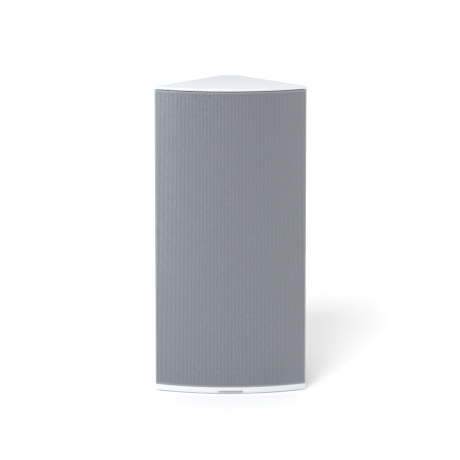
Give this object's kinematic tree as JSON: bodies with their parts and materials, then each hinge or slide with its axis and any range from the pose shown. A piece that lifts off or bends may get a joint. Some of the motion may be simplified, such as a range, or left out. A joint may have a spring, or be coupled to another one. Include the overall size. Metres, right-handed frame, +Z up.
{
  "type": "corner loudspeaker",
  "caption": "Upright corner loudspeaker: V-shaped cabinet, curved perforated pull-off grille, woofer and tweeter, rear terminals.",
  "frame": {"origin": "middle of the footprint, on the floor", "axes": "+X to the right seen from the front, +Y to the rear, +Z up; the grille faces -Y"},
  "size_m": [0.19, 0.107, 0.388],
  "materials": {
    "white_paint": "satin paint",
    "grille_metal": "satin, fine staggered perforation",
    "shell_metal": "bead-blasted and anodised",
    "black_paint": "matt black paint on fibreboard",
    "basket_paint": "matt black paint",
    "black_cloth": "woven acoustic cloth",
    "black_rubber": "matt",
    "cone_paper": "coated paper",
    "dome_silk": "coated silk",
    "spider_cloth": "resin-dipped cloth",
    "zinc_steel": "zinc plated",
    "ferrite": "matt",
    "copper_winding": "enamelled copper",
    "gold_brass": "polished plating",
    "black_plastic": "fine texture",
    "red_plastic": "gloss",
    "board_laminate": "solder resist",
    "capacitor_film": "film sleeve",
    "ceramic": "unglazed ceramic",
    "wadding": "polyester wadding",
    "badge_metal": "satin"
  },
  "bodies": {
    "cabinet": {"cabinet_shell": "shell_metal", "top_cap": "white_paint", "bottom_cap": "white_paint", "badge_plate": "badge_metal", "foot_left": "black_rubber", "foot_right": "black_rubber", "foot_rear": "black_rubber", "bottom_gasket": "black_rubber", "top_gasket": "black_rubber", "front_baffle": "black_paint", "woofer_gasket": "black_rubber", "woofer_basket": "basket_paint", "woofer_surround": "black_rubber", "woofer_spider": "spider_cloth", "woofer_top_plate": "zinc_steel", "woofer_magnet": "ferrite", "woofer_yoke": "zinc_steel", "tweeter_faceplate": "black_plastic", "tweeter_surround": "dome_silk", "tweeter_top_plate": "zinc_steel", "tweeter_magnet": "ferrite", "tweeter_yoke": "zinc_steel", "port_tube": "black_plastic", "terminal_cup": "black_plastic", "terminal_stud_negative": "gold_brass", "terminal_stud_positive": "gold_brass", "bracket_insert_upper": "gold_brass", "bracket_insert_lower": "gold_brass", "crossover_board": "board_laminate", "crossover_coil_low": "copper_winding", "crossover_coil_high": "copper_winding", "crossover_capacitor_low": "capacitor_film", "crossover_capacitor_high": "capacitor_film", "crossover_resistor": "ceramic", "input_lead": "black_rubber", "woofer_lead": "black_rubber", "tweeter_lead": "black_rubber", "wadding_pad": "wadding", "grille_magnet_bottom_left": "zinc_steel", "grille_magnet_bottom_right": "zinc_steel", "grille_magnet_top_left": "zinc_steel", "grille_magnet_top_right": "zinc_steel", "woofer_screw_1": "zinc_steel", "woofer_screw_2": "zinc_steel", "woofer_screw_3": "zinc_steel", "woofer_screw_4": "zinc_steel", "tweeter_screw_1": "zinc_steel", "tweeter_screw_2": "zinc_steel", "tweeter_screw_3": "zinc_steel"},
    "grille": {"grille_panel": "grille_metal", "grille_cloth": "black_cloth"},
    "woofer_moving": {"woofer_cone": "cone_paper", "woofer_dust_cap": "cone_paper", "woofer_former": "copper_winding"},
    "tweeter_moving": {"tweeter_dome": "dome_silk", "tweeter_former": "copper_winding"},
    "clamp_negative": {"terminal_washer_negative": "gold_brass"},
    "knob_negative": {"terminal_knob_negative": "black_plastic"},
    "clamp_positive": {"terminal_washer_positive": "gold_brass"},
    "knob_positive": {"terminal_knob_positive": "red_plastic"}
  },
  "joints": [
    {"name": "grille_pull", "type": "slide", "parent": "cabinet", "child": "grille", "axis": [0, -1, 0], "range_m": [0, 0.08]},
    {"name": "woofer_stroke", "type": "slide", "parent": "cabinet", "child": "woofer_moving", "axis": [0, -1, 0], "range_m": [-0.004, 0.004], "stiffness_N_per_m": 1000, "deforming": ["woofer_surround", "woofer_spider"]},
    {"name": "tweeter_stroke", "type": "slide", "parent": "cabinet", "child": "tweeter_moving", "axis": [0, -1, 0], "range_m": [-0.0004, 0.0004], "stiffness_N_per_m": 300, "deforming": ["tweeter_surround"]},
    {"name": "clamp_lift_negative", "type": "slide", "parent": "cabinet", "child": "clamp_negative", "axis": [0, 1, 0], "range_m": [0, 0.0042]},
    {"name": "knob_turn_negative", "type": "hinge", "parent": "clamp_negative", "child": "knob_negative", "pos_m": [-0.00953, 0.039, 0.048], "axis": [0, 1, 0], "range_deg": [0, 2160]},
    {"name": "clamp_lift_positive", "type": "slide", "parent": "cabinet", "child": "clamp_positive", "axis": [0, 1, 0], "range_m": [0, 0.0042]},
    {"name": "knob_turn_positive", "type": "hinge", "parent": "clamp_positive", "child": "knob_positive", "pos_m": [0.00953, 0.039, 0.048], "axis": [0, 1, 0], "range_deg": [0, 2160]}
  ],
  "couplings": [
    {"joint": "knob_turn_negative", "follows": "clamp_lift_negative", "rad_per_m": 8975.9},
    {"joint": "knob_turn_positive", "follows": "clamp_lift_positive", "rad_per_m": 8975.9}
  ]
}
